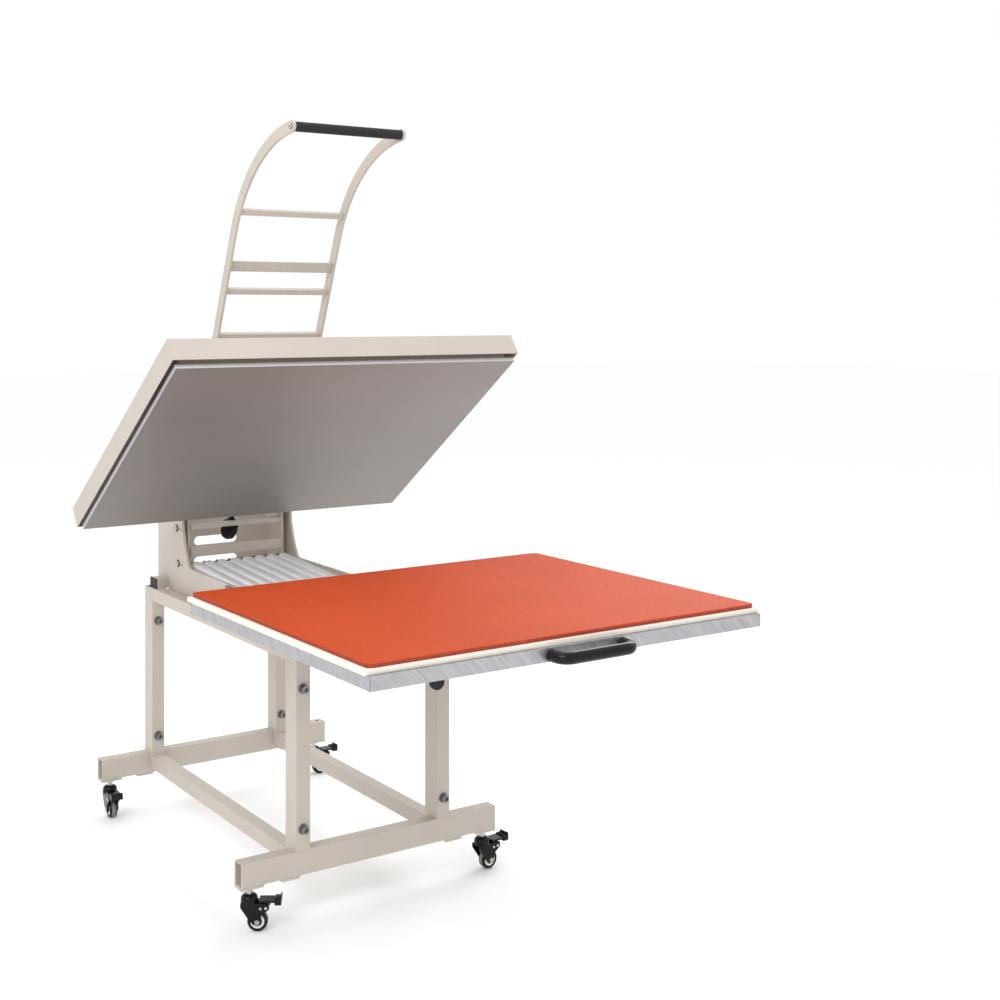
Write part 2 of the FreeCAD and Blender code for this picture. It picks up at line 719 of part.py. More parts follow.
bow = doc.addObject("PartDesign::Body", "bow_handle")
half = number("bow_half")
reach = number("bow_reach")
bend = number("bow_bend")
lag = bend * (1 - 0.5 ** 0.5)
bow_path = rod_path(
    bow, "Z", "BowPath",
    [((-half, 0), (-half, bend - reach)), ((bend - half, -reach), (half - bend, -reach)),
     ((half, bend - reach), (half, 0))],
    [((-half, bend - reach), (lag - half, lag - reach), (bend - half, -reach)),
     ((half - bend, -reach), (half - lag, lag - reach), (half, bend - reach))])
bow_section = sketch_on(bow, "Y", "BowSection")
circle(bow_section, "-bow_half", "0", "bow_radius")
bow_pipe = bow.newObject("PartDesign::AdditivePipe", "BowPipe")
bow_pipe.Profile = bow_section
bow_pipe.Spine = bow_path
node(place(bow, "bow_x", "stand_y + tray_front", "tray_bottom + bow_radius"), "bow_handle")

# Three-member drawer slides: fixed rail on the yoke, middle member, runner under the tray
rail = box("RailRight", "slide_thick", "fixed_length", "slide_tall")
rail_x = "yoke_inner + yoke_thick"
place(rail, rail_x, "stand_y + slide_front", "slide_bottom")
pair("drawer_rails", rail)
member = box("MemberRight", "slide_thick", "slide_length", "slide_tall")
member_x = rail_x + " + slide_thick + slide_gap"
place(member, member_x, "stand_y + slide_front - travel / 2", "slide_bottom")
pair("slide_members", member)
runner = box("RunnerBar", "slide_thick", "runner_length", "slide_tall")
runner_x = rail_x + " + 2 * (slide_thick + slide_gap)"
runner_y = "stand_y + slide_front - travel + slide_length - runner_length"
place(runner, runner_x, runner_y, "slide_bottom")
flange = box("RunnerFlange", "tube", "runner_length", "tray_bottom - slide_bottom - slide_tall")
place(flange, runner_x, runner_y, "slide_bottom + slide_tall")
pair("drawer_runners", fuse("RunnerRight", [runner, flange]))


# Ladder handle: two bent flat bars, four rungs, a grip, and the shaft that it turns on
def lever_point(along, shift=0.0):
    """Point of an arm's centre line, as (back, up) from the hinge, leaning forward."""
    lean = number("lever_lean")
    run = number("lever_straight")
    bend_radius = number("lever_bend")
    way = Rotation(Vector(1, 0, 0), lean).multVec(Vector(0, 0, 1))
    side = Rotation(Vector(1, 0, 0), lean).multVec(Vector(0, -1, 0))
    if along <= run:
        return way * along + side * shift
    turn = math.degrees((along - run) / bend_radius)
    spin = Rotation(Vector(1, 0, 0), turn)
    centre = way * run + side * bend_radius
    return centre + spin.multVec(side * (shift - bend_radius))


RUN = number("lever_straight")
ARC = number("lever_bend") * math.radians(number("lever_turn"))
WIDE = number("lever_wide")


def lever_way(along):
    """Unit vector along an arm's centre line."""
    return (lever_point(along + 0.5) - lever_point(along - 0.5)).normalize()


def on_sketch(spot):
    return Vector(spot.y, spot.z, 0)


def lever_arm(name, sign):
    body = doc.addObject("PartDesign::Body", name)
    sketch = sketch_on(body, "X", name + "Outline")
    half_wide = WIDE / 2
    far = RUN + ARC
    stations = (0, RUN, RUN + ARC / 2, far)
    front = [on_sketch(lever_point(s, half_wide)) for s in stations]
    rear = [on_sketch(lever_point(s, -half_wide)) for s in stations]
    tip = on_sketch(lever_point(far) + lever_way(far) * half_wide)
    butt = on_sketch(lever_point(0) - lever_way(0) * half_wide)
    sketch.addGeometry(Part.LineSegment(front[0], front[1]), False)
    sketch.addGeometry(Part.Arc(front[1], front[2], front[3]), False)
    sketch.addGeometry(Part.Arc(front[3], tip, rear[3]), False)
    sketch.addGeometry(Part.Arc(rear[3], rear[2], rear[1]), False)
    sketch.addGeometry(Part.LineSegment(rear[1], rear[0]), False)
    sketch.addGeometry(Part.Arc(rear[0], butt, front[0]), False)
    pad(body, sketch, "lever_thick")
    bores = sketch_on(body, "X", name + "Bores")
    circle(bores, "0", "0", "shaft_radius")
    drill(body, bores)
    place(body, "%s * (lever_inner + lever_thick / 2)" % sign, "stand_y + hinge_y", "hinge_z")
    return node(body, name)


lever_arm("handle_arm_left", "-1")
lever_arm("handle_arm_right", "1")
shaft = cylinder("handle_shaft", "shaft_radius", "2 * (lever_inner + lever_thick)")
place(shaft, "-lever_inner - lever_thick", "stand_y + hinge_y", "hinge_z", AXIS_TURN["X"])
node(shaft, "handle_shaft")

lean_turn = Rotation(Vector(1, 0, 0), number("lever_lean"))
rungs = []
RUNG_SPOTS = ((422, "rung", "rung"), (558, "rung", "rung"), (632, "wide_rung_thick", "wide_rung_tall"),
              (794, "rung", "rung"))
for i, (along, thick, tall) in enumerate(RUNG_SPOTS):
    rung = box("Rung%d" % i, "2 * lever_inner", thick, tall)
    spot = lever_point(along, number(thick) / 2 + 3) - lean_turn.multVec(Vector(0, 0, number(tall) / 2))
    place(rung, "-lever_inner", "stand_y + hinge_y + %f" % spot.y, "hinge_z + %f" % spot.z, lean_turn)
    rungs.append(rung)
node(group("rungs", rungs), "rungs")

TIP = lever_point(RUN + ARC)
grip = cylinder("grip", "grip_radius", "2 * lever_inner")
tip_y = "stand_y + hinge_y + %f" % TIP.y
tip_z = "hinge_z + %f" % TIP.z
node(place(grip, "-lever_inner", tip_y, tip_z, AXIS_TURN["X"]), "grip")
screw = cylinder("GripScrew", "7", "5")
pair("grip_screws", place(screw, "lever_inner + lever_thick", tip_y, tip_z, AXIS_TURN["X"]))


# Casters: a stem and a round cup carry two side plates, the wheel and the brake pedal. Each is
# built trailing towards +X from its own stem, then turned and set under its foot.
FORK_SIDE = [
    ("-20", "70"), ("-20", "60"), ("caster_trail - 18", "28"), ("caster_trail - 8", "19"),
    ("caster_trail + 8", "19"), ("caster_trail + 10", "42"), ("pedal_pivot_x + 8", "pedal_pivot_z - 3"),
    ("pedal_pivot_x + 8", "pedal_pivot_z + 9"), ("caster_trail", "pedal_pivot_z + 11"),
]


def fork_side(name, sign):
    body = doc.addObject("PartDesign::Body", name)
    sketch = sketch_on(body, "Y", name + "Outline")
    outline(sketch, FORK_SIDE)
    pad(body, sketch, "fork_skin")
    return place(body, "0", "%s * (fork_gap + fork_skin / 2)" % sign)


def caster(tag, x, y):
    facing = Rotation(Vector(0, 0, 1), number("turn_" + tag))
    stem_y = "stand_y + %s + foot_deep / 2" % y
    stem = cylinder(tag + "Stem", "stem_radius", "foot_bottom - cup_top + 1.5")
    place(stem, "0", "0", "cup_top - 2")
    cup = cylinder(tag + "Cup", "cup_radius", "cup_top - cup_bottom - 8")
    place(cup, "0", "0", "cup_bottom")
    crown = doc.addObject("Part::Cone", tag + "Crown")
    bind(crown, "Radius1", "cup_radius")
    bind(crown, "Radius2", "cup_radius - 7")
    crown.Height = 8
    place(crown, "0", "0", "cup_top - 8")
    sides = [fork_side(tag + "SideNear", "-1"), fork_side(tag + "SideFar", "1")]
    axle = cylinder(tag + "Axle", "axle_radius", "2 * (fork_gap + fork_skin) + 6")
    place(axle, "caster_trail", "-fork_gap - fork_skin - 3", "wheel_radius", AXIS_TURN["Y"])
    body = fuse(tag + "ForkBody", [stem, cup, crown] + sides + [axle])
    pin_hole = cylinder(tag + "PinHole", "2.5 + running", "3 * fork_gap + 2 * fork_skin")
    place(pin_hole, "pedal_pivot_x", "-1.5 * fork_gap - fork_skin", "pedal_pivot_z", AXIS_TURN["Y"])
    fork = cut("caster_fork_" + tag, body, pin_hole)
    node(place(fork, x, stem_y, "0", facing), "caster_fork_" + tag)

    wheel = doc.addObject("PartDesign::Body", "caster_wheel_" + tag)
    section = sketch_on(wheel, "Y", tag + "WheelSection")
    outline(section, [
        ("axle_radius + running", "-wheel_half"), ("10", "-wheel_half"), ("12", "2 - wheel_half"),
        ("18", "2 - wheel_half"), ("wheel_radius - 3", "-wheel_half"),
        ("wheel_radius", "4 - wheel_half"), ("wheel_radius", "wheel_half - 4"),
        ("wheel_radius - 3", "wheel_half"), ("18", "wheel_half - 2"), ("12", "wheel_half - 2"),
        ("10", "wheel_half"), ("axle_radius + running", "wheel_half")])
    spun = wheel.newObject("PartDesign::Revolution", tag + "WheelSpun")
    spun.Profile = section
    spun.ReferenceAxis = (section, ["V_Axis"])
    spun.Angle = 360
    trail_x = "%s + caster_trail * cos(turn_%s * 1 deg)" % (x, tag)
    trail_y = "%s + caster_trail * sin(turn_%s * 1 deg)" % (stem_y, tag)
    upright = facing.multiply(Rotation(Vector(1, 0, 0), 90))
    node(place(wheel, trail_x, trail_y, "wheel_radius", upright), "caster_wheel_" + tag)

    tread = box(tag + "PedalPlate", "pedal_reach - caster_trail - 4", "2 * pedal_half", "5")
    place(tread, "caster_trail + 4", "-pedal_half", "pedal_pivot_z + 13")
    toe = box(tag + "PedalToe", "16", "2 * pedal_half", "14")
    place(toe, "pedal_reach - 16", "-pedal_half", "pedal_pivot_z + 7")
    lug = box(tag + "PedalLug", "10", "2 * fork_gap - 2", "19")
    place(lug, "pedal_pivot_x - 5", "1 - fork_gap", "pedal_pivot_z - 5")
    pivot = cylinder(tag + "PedalPin", "2.5", "2 * (fork_gap + fork_skin)")
    place(pivot, "pedal_pivot_x", "-fork_gap - fork_skin", "pedal_pivot_z", AXIS_TURN["Y"])
    pedal = fuse("brake_pedal_" + tag, [tread, toe, lug, pivot])
    node(place(pedal, x, stem_y, "0", facing), "brake_pedal_" + tag)


for tag, x, y in (("front_left", "-caster_x", "0"), ("front_right", "caster_x", "0"),
                  ("rear_left", "-caster_x", "rear_foot_y"), ("rear_right", "caster_x", "rear_foot_y")):
    caster(tag, x, y)

# Control box on top of the head, with a rocker switch, a set button and a flush power inlet
case = box("BoxCase", "box_wide", "box_deep", "box_tall")
on_head(case, "box_x", "box_y", "casing_top")
switch_well = box("SwitchWell", "switch_wide + 0.6", "14", "switch_tall + 3")
on_head(switch_well, "box_x + switch_x - 0.3", "box_y - 1", "casing_top + switch_z - 1.5")
button_x = "box_x + box_wide - button_inset"
button_z = "casing_top + box_tall / 2"
button_well = cylinder("ButtonWell", "button_radius + 0.3", "14")
on_head(button_well, button_x, "box_y - 1", button_z, AXIS_TURN["Y"])
inlet_well = box("InletWell", "28", "12", "20")
on_head(inlet_well, "box_x + 80", "box_y + box_deep - 11", "casing_top + 20")
wells = fuse("BoxWells", [switch_well, button_well, inlet_well])
node(cut("control_box", case, wells), "control_box")
rocker = box("power_switch", "switch_wide", "12", "switch_tall")
on_head(rocker, "box_x + switch_x", "box_y - 3", "casing_top + switch_z")
node(rocker, "power_switch")
button = cylinder("set_button", "button_radius", "10")
node(on_head(button, button_x, "box_y - 4", button_z, AXIS_TURN["Y"]), "set_button")

doc.recompute()
for obj in doc.Objects:
    broken = [word for word in obj.State if word in ("Invalid", "Error")]
    assert not broken, "%s is %s" % (obj.Label, obj.State)
for obj in NODES:
    assert not obj.Shape.isNull() and obj.Shape.isValid(), obj.Label

os.makedirs("parts", exist_ok=True)
for obj in NODES:
    obj.Shape.exportStep("parts/%s.step" % obj.Label)
whole = Part.makeCompound([obj.Shape for obj in NODES]).BoundBox
print(len(NODES), "nodes", whole)
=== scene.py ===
"""The heat press in Blender: materials for the CAD nodes, and the fine pieces that the CAD leaves out.

Points are in metres; at(), on_head(), moved(), slab() and the shapes take millimetres unless they say
otherwise. The stand is measured from the front face of its front foot, the head from its hinge.
"""
import math

import bmesh
import bpy
from mathutils import Matrix, Vector, noise


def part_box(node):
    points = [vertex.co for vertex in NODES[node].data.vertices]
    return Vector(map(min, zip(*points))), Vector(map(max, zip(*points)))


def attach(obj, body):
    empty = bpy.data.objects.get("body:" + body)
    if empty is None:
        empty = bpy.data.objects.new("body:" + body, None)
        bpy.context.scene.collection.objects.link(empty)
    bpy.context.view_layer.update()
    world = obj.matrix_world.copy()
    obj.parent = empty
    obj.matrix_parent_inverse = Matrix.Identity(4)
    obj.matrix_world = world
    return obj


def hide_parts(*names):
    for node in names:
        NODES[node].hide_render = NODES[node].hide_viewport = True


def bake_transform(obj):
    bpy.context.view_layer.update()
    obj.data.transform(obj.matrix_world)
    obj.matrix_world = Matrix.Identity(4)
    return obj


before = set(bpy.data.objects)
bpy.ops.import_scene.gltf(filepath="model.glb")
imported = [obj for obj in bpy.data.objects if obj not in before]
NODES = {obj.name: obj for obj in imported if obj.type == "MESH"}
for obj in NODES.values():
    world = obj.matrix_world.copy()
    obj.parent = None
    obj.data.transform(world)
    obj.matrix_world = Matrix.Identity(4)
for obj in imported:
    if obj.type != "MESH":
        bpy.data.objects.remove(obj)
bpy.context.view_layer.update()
TAGS = ("front_left", "front_right", "rear_left", "rear_right")
SIDES = (-1, 1)
MM = 0.001
Y0 = -0.0531  # the frame's Y of the front foot's front face
HEAD_TILT = math.radians(35.6)


# ---------------------------------------------------------------- camera, light and floor
AREA_LIGHTS = (  # name, place, aim, edge in metres, watts
    ("Key", (-4.2, -2.6, 4.2), (0.0, -0.1, 0.8), 3.0, 135.0),
    ("Front", (1.2, -5.5, 2.8), (0.0, 0.0, 0.7), 3.5, 8.0),
    ("Top", (0.3, 0.2, 5.0), (0.0, 0.0, 0.5), 3.0, 34.0),
    ("Right", (2.5, 1.0, 2.3), (0.3, -0.5, 0.8), 1.8, 34.0),
)
FLOOR_WHITE = (0.98, 0.98, 0.98, 1.0)
FLOOR_SIZE = 60.0


def add_camera():
    data = bpy.data.cameras.new("Camera")
    data.lens = 51.225
    data.sensor_width = 36.0
    data.shift_x = 0.06
    data.shift_y = -0.187
    data.clip_end = 60.0
    camera = bpy.data.objects.new("Camera", data)
    camera.location = (-1.8381, -3.1427, 1.4833)
    camera.rotation_euler = (math.radians(90.0), 0.0, math.radians(-33.3445))
    bpy.context.scene.collection.objects.link(camera)
    bpy.context.scene.camera = camera


def add_area(name, place, aim, size, power):
    data = bpy.data.lights.new(name, "AREA")
    data.shape = "SQUARE"
    data.size = size
    data.energy = power
    light = bpy.data.objects.new(name, data)
    light.location = place
    light.rotation_euler = (Vector(aim) - Vector(place)).to_track_quat("-Z", "Y").to_euler()
    bpy.context.scene.collection.objects.link(light)


def add_studio():
    bpy.context.scene.view_settings.view_transform = "Standard"
    world = bpy.data.worlds.new("Studio")
    world.use_nodes = True
    background = world.node_tree.nodes["Background"]
    background.inputs["Color"].default_value = (1.0, 1.0, 1.0, 1.0)
    background.inputs["Strength"].default_value = 1.0
    bpy.context.scene.world = world
    for light in AREA_LIGHTS:
        add_area(*light)
    bpy.ops.mesh.primitive_plane_add(size=FLOOR_SIZE)
    floor = bpy.context.object
    floor.name = "Floor"
    material = bpy.data.materials.new("floor_white")
    material.use_nodes = True
    shader = material.node_tree.nodes["Principled BSDF"]
    shader.inputs["Base Color"].default_value = FLOOR_WHITE
    shader.inputs["Roughness"].default_value = 0.9
    floor.data.materials.append(material)


# ---------------------------------------------------------------- materials
class Shader:
    """A Principled material built from a few short steps."""

    def __init__(self, name, colour, roughness, metallic=0.0, **sockets):
        self.material = bpy.data.materials.new(name)
        self.material.use_nodes = True
        self.nodes = self.material.node_tree.nodes
        self.links = self.material.node_tree.links
        self.main = self.nodes["Principled BSDF"]
        self.main.inputs["Base Color"].default_value = (*colour, 1.0)
        self.main.inputs["Roughness"].default_value = roughness
        self.main.inputs["Metallic"].default_value = metallic
        for socket, value in sockets.items():
            self.main.inputs[socket.replace("_", " ")].default_value = value
        self.height = None
        coordinates = self.nodes.new("ShaderNodeTexCoord")
        self.place = coordinates.outputs["Object"]

    def turned(self, angles, fineness):
        """Coordinates for a pattern turned by degrees and made finer along its own axes."""
        mapping = self.nodes.new("ShaderNodeMapping")
        mapping.vector_type = "TEXTURE"
        mapping.inputs["Rotation"].default_value = [math.radians(a) for a in angles]
        mapping.inputs["Scale"].default_value = [1.0 / f for f in fineness]
        self.links.new(self.place, mapping.inputs["Vector"])
        return mapping.outputs["Vector"]

    def noise(self, scale, detail, roughness=0.5, vector=None):
        node = self.nodes.new("ShaderNodeTexNoise")
        node.inputs["Scale"].default_value = scale
        node.inputs["Detail"].default_value = detail
        node.inputs["Roughness"].default_value = roughness
        self.links.new(vector or self.place, node.inputs["Vector"])
        return node.outputs["Fac"]

    def ramp(self, value, stops):
        node = self.nodes.new("ShaderNodeValToRGB")
        for element, (position, colour) in zip(node.color_ramp.elements, stops):
            element.position = position
            element.color = (*colour, 1.0)
        self.links.new(value, node.inputs["Fac"])
        return node.outputs["Color"]

    def spread(self, value, low, high, start=0.35, end=0.65):
        """Map a value from start..end to low..high; noise mostly lies in the default range."""
        node = self.nodes.new("ShaderNodeMapRange")
        node.inputs["From Min"].default_value = start
        node.inputs["From Max"].default_value = end
        node.inputs["To Min"].default_value = low
        node.inputs["To Max"].default_value = high
        self.links.new(value, node.inputs["Value"])
        return node.outputs["Result"]

    def mix(self, a, b, factor):
        """From a to b by a linked factor; a and b are colours or links to them."""
        node = self.nodes.new("ShaderNodeMix")
        node.data_type = "RGBA"
        self.links.new(factor, node.inputs["Factor"])
        for socket, value in ((node.inputs["A"], a), (node.inputs["B"], b)):
            if isinstance(value, tuple):
                socket.default_value = (*value, 1.0)
            else:
                self.links.new(value, socket)
        return node.outputs["Result"]

    def paint(self, colour):
        self.links.new(colour, self.main.inputs["Base Color"])

    def rough(self, value):
        self.links.new(value, self.main.inputs["Roughness"])

    def bump(self, value, distance, strength):
        node = self.nodes.new("ShaderNodeBump")
        node.inputs["Distance"].default_value = distance
        node.inputs["Strength"].default_value = strength
        self.links.new(value, node.inputs["Height"])
        if self.height:
            self.links.new(self.height, node.inputs["Normal"])
        self.height = node.outputs["Normal"]
        self.links.new(self.height, self.main.inputs["Normal"])


def shade(colour, factor):
    return tuple(min(1.0, c * factor) for c in colour)


def powder_coat(name, colour, roughness):
    """Textured powder coat: fine orange peel, faint patches of tone and gloss."""
    shader = Shader(name, colour, roughness)
    patches = shader.noise(7.0, 3.0)
    shader.paint(shader.ramp(patches, [(0.3, shade(colour, 0.965)), (0.7, shade(colour, 1.02))]))
    shader.rough(shader.spread(shader.noise(60.0, 4.0), roughness - 0.06, roughness + 0.08))
    shader.bump(shader.noise(900.0, 2.0), 0.00012, 0.35)
    shader.bump(shader.noise(240.0, 2.0), 0.0002, 0.15)
    return shader.material


def brushed(name, colour, roughness, angles, fineness, contrast):
    """Bare metal with a directional hairline finish."""
    shader = Shader(name, colour, roughness, 1.0)
    lines = shader.noise(16.0, 4.0, 0.65, shader.turned(angles, fineness))
    clouds = shader.noise(5.0, 3.0)
    tone = shader.ramp(lines, [(0.3, shade(colour, 1.0 - contrast)), (0.7, shade(colour, 1.0 + contrast))])
    shader.paint(shader.mix(tone, shade(colour, 0.85), shader.spread(clouds, 0.0, 0.3)))
    shader.rough(shader.spread(lines, roughness - 0.08, roughness + 0.12))
    shader.bump(lines, 0.0001, 0.4)
    return shader.material


def plain_metal(name, colour, roughness, metallic=1.0, grain=0.00008):
    """Metal with a slight unevenness of gloss; grain is the height of its bumps."""
    shader = Shader(name, colour, roughness, metallic)
    shader.rough(shader.spread(shader.noise(80.0, 4.0), roughness - 0.05, roughness + 0.1))
    shader.bump(shader.noise(400.0, 3.0), grain, 0.3)
    return shader.material


def moulded(name, colour, roughness, pattern=700.0, grain=0.0001, shine=0.5):
    """Plastic or rubber; pattern is the scale of its bumps and grain their height."""
    shader = Shader(name, colour, roughness, Specular_IOR_Level=shine)
    shader.rough(shader.spread(shader.noise(120.0, 3.0), roughness - 0.05, roughness + 0.07))
    shader.bump(shader.noise(pattern, 2.0), grain, 0.3)
    return shader.material


def silicone_sponge():
    """Red-orange silicone sponge: fine pores, faint mottling."""
    colour = (0.485, 0.060, 0.012)
    shader = Shader("silicone_sponge", colour, 0.66, Specular_IOR_Level=0.12)
    mottle = shader.noise(3.5, 4.0, 0.6)
    fine = shader.noise(320.0, 3.0)
    tone = shader.ramp(mottle, [(0.3, shade(colour, 0.93)), (0.7, shade(colour, 1.06))])
    shader.paint(shader.mix(tone, shade(colour, 0.8), shader.spread(fine, 0.0, 0.35, 0.55, 0.75)))
    shader.rough(shader.spread(fine, 0.55, 0.72))
    shader.bump(fine, 0.0003, 0.35)
    shader.bump(shader.noise(60.0, 3.0), 0.0005, 0.12)
    return shader.material


def silicone_cut():
    """The cut side of the sponge sheet: open dark pores."""
    colour = (0.50, 0.060, 0.022)
    pore = (0.07, 0.010, 0.006)
    shader = Shader("silicone_cut_side", colour, 0.75)
    pores = shader.noise(520.0, 4.0, 0.7)
    shader.paint(shader.ramp(pores, [(0.42, pore), (0.56, colour)]))
    shader.bump(pores, 0.0006, 0.7)
    return shader.material


def plate_finish():
    """Matt coated face with bright milled sides, told apart by the direction they face."""
    face = (0.275, 0.252, 0.240)
    side = (0.60, 0.60, 0.62)
    head_up = (0.0, math.sin(HEAD_TILT), math.cos(HEAD_TILT))  # the coated face looks the other way
    shader = Shader("heat_plate", face, 0.5, 0.6)
    clouds = shader.noise(2.2, 3.0)
    lines = shader.noise(60.0, 5.0, 0.7, shader.turned((0, 0, 0), (1.0, 14.0, 1.0)))
    tone = shader.ramp(clouds, [(0.3, shade(face, 0.94)), (0.7, shade(face, 1.07))])
    fine = shader.mix(tone, shade(face, 0.85), shader.spread(lines, 0.0, 0.25))
    normal = shader.nodes.new("ShaderNodeTexCoord").outputs["Normal"]
    facing = shader.nodes.new("ShaderNodeVectorMath")
    facing.operation = "DOT_PRODUCT"
    facing.inputs[1].default_value = head_up
    shader.links.new(normal, facing.inputs[0])
    coated = shader.spread(facing.outputs["Value"], 1.0, 0.0, -0.9, -0.6)
    shader.paint(shader.mix(side, fine, coated))
    shader.rough(shader.spread(coated, 0.3, 0.52, 0.0, 1.0))
    shader.bump(lines, 0.00008, 0.3)
    return shader.material


def felt():
    """Pressed cream felt with short fibres."""
    colour = (0.80, 0.755, 0.665)
    shader = Shader("cream_felt", colour, 0.95)
    fibres = shader.noise(260.0, 6.0, 0.7, shader.turned((0, 0, 20), (1.0, 1.0, 4.0)))
    shader.paint(shader.ramp(fibres, [(0.3, shade(colour, 0.86)), (0.65, shade(colour, 1.06))]))
    shader.bump(fibres, 0.0006, 0.5)
    return shader.material


MATERIALS = {
    "beige": powder_coat("beige_powder_coat", (0.500, 0.447, 0.394), 0.42),
    "tray": brushed("brushed_aluminium", (0.46, 0.455, 0.475), 0.40, angles=(0.0, -35.26, -45.0),
                    fineness=(30.0, 1.0, 1.0), contrast=0.36),
    "plate": plate_finish(),
    "steel": plain_metal("bright_steel", (0.58, 0.57, 0.55), 0.28),
    "chrome": plain_metal("chrome_wire", (0.80, 0.80, 0.81), 0.42, metallic=0.45, grain=0.00001),
    "gloss_black": moulded("gloss_black", (0.005, 0.005, 0.006), 0.16, pattern=60.0, shine=0.22),
    "matt_black": moulded("matt_black", (0.012, 0.012, 0.013), 0.5, shine=0.3),
    "rubber": moulded("black_rubber", (0.014, 0.014, 0.014), 0.7, pattern=500.0, grain=0.0003, shine=0.4),
    "silicone": silicone_sponge(),
    "silicone_edge": silicone_cut(),
    "felt": felt(),
    "felt_edge": felt(),
    "dull_steel": plain_metal("dull_steel", (0.24, 0.235, 0.23), 0.38),
    "dark_steel": plain_metal("dark_steel", (0.10, 0.095, 0.09), 0.4),
    "display": moulded("display_glass", (0.035, 0.006, 0.006), 0.08, pattern=60.0, grain=0.00005),
    "lamp": moulded("lamp_red", (0.45, 0.02, 0.015), 0.25),
    "tread": moulded("wheel_tread", (0.20, 0.17, 0.145), 0.6),
    "wheel_ring": moulded("wheel_ring", (0.78, 0.76, 0.70), 0.4),
    "wool": moulded("mineral_wool", (0.55, 0.50, 0.38), 0.95, pattern=200.0, grain=0.001),
}
NODE_MATERIAL = {  # every other node is beige
    "frame_bolts": "dull_steel", "rubber_bumper": "rubber", "tube_caps": "matt_black",
    "pivot_pins": "steel", "yoke_screws": "steel", "spring_anchor": "steel",
    "counter_springs": "chrome", "drawer_rails": "dull_steel", "slide_members": "dull_steel",
    "tray": "tray", "felt_board": "felt", "silicone_pad": "silicone", "bow_handle": "gloss_black",
    "drawer_runners": "dull_steel", "heat_plate": "plate", "heating_element": "matt_black",
    "insulation": "wool", "spring_bar": "steel", "pressure_knob": "gloss_black",
    "handle_shaft": "steel", "grip": "rubber", "grip_screws": "steel",
    "power_switch": "matt_black", "set_button": "matt_black",
}
for tag in TAGS:
    NODE_MATERIAL["caster_fork_" + tag] = "gloss_black"
    NODE_MATERIAL["caster_wheel_" + tag] = "tread"
    NODE_MATERIAL["brake_pedal_" + tag] = "gloss_black"

TUBES = ("front_foot", "rear_foot", "front_posts", "rear_posts", "left_uprights", "right_uprights",
         "left_rails", "right_rails", "front_cross_tube", "rear_cross_tube")
FOLDED = ("casing", "control_box")
FINE = ("tray", "heat_plate", "frame_bolts", "power_switch", "drawer_rails", "slide_members")


def edge_width(name):
    """How far the edges of a node are rounded, in metres."""
    if name in TUBES:
        return 0.0028
    if name in FOLDED:
        return 0.0016
    if name.startswith(("caster_fork", "brake_pedal")):
        return 0.0014
    if name in FINE:
        return 0.0006
    return 0.0010


def dress_node(name):
    """Show a CAD node with softened edges and its own material."""
    node = NODES[name]
    node.data.materials.clear()
    node.data.materials.append(MATERIALS[NODE_MATERIAL.get(name, "beige")])
    weld = node.modifiers.new("Weld", "WELD")
    weld.merge_threshold = 0.00001
    flat = node.modifiers.new("Flat", "DECIMATE")
    flat.decimate_type = "DISSOLVE"
    flat.angle_limit = math.radians(1.2)
    bevel = node.modifiers.new("Bevel", "BEVEL")
    bevel.width = edge_width(name)
    bevel.segments = 3
    bevel.limit_method = "ANGLE"
    bevel.angle_limit = math.radians(38.0)
    normals = node.modifiers.new("Normals", "WEIGHTED_NORMAL")
    normals.keep_sharp = True


# ---------------------------------------------------------------- places
def spin(degrees, axis):
    return Matrix.Rotation(math.radians(degrees), 4, axis)


def moved(x, y, z):
    return Matrix.Translation((x * MM, y * MM, z * MM))


def outward(side):
    """Turn the local Z axis to the left (-1) or to the right (1)."""
    return spin(90.0 * side, "Y")


TO_FRONT = spin(90.0, "X")
TO_REAR = spin(-90.0, "X")
AXIS = {"X": spin(90.0, "Y"), "Y": TO_REAR, "Z": Matrix.Identity(4)}
HINGE = Vector((0.0, 0.839 + Y0, 0.920))
ON_HEAD = Matrix.Translation(HINGE) @ Matrix.Rotation(-HEAD_TILT, 4, "X")


def at(x, y, z, turn="Z"):
    """A place on the stand, with the local Z axis along the turn's axis."""
    return Matrix.Translation((x * MM, y * MM + Y0, z * MM)) @ AXIS[turn]


def on_head(x, y, z):
    """A place on the head, with the local Z axis out of its top."""
    return ON_HEAD @ moved(x, y, z)


# ---------------------------------------------------------------- shapes
def lathe(bm, profile, matrix, count, index=0):
    """Turn a profile of (radius, height) about the matrix's Z axis, with count sides."""
    rings = []
    for radius, height in profile:
        if radius < 0.001:
            rings.append([bm.verts.new(matrix @ Vector((0, 0, height * MM)))])
            continue
        wide = radius * MM
        ring = []
        for k in range(count):
            a = math.tau * k / count
            spot = Vector((wide * math.cos(a), wide * math.sin(a), height * MM))
            ring.append(bm.verts.new(matrix @ spot))
        rings.append(ring)
    for low, high in zip(rings, rings[1:]):
        for k in range(count):
            loop = [low[k % len(low)], low[(k + 1) % len(low)],
                    high[(k + 1) % len(high)], high[k % len(high)]]
            face = bm.faces.new(list(dict.fromkeys(loop)))
            face.material_index = index
    for ring in (rings[0], rings[-1]):
        if len(ring) > 1:
            bm.faces.new(ring).material_index = index


def disc(bm, matrix, radius, low, high, count, index=0):
    lathe(bm, [(0, low), (radius, low), (radius, high), (0, high)], matrix, count, index)


def dome_head(bm, matrix, radius, tall):
    """A button head with a black hexagon painted as the shade inside its socket recess, which takes the
    second material.
    """
    lathe(bm, [(0, 0), (radius, 0), (radius, tall * 0.25), (radius * 0.86, tall * 0.72),
               (radius * 0.55, tall * 0.97), (0, tall)], matrix, 28)
    # thin black hexagon: painted shade of the socket recess
    disc(bm, matrix, radius * 0.42, tall, tall + 0.12, 6, 1)


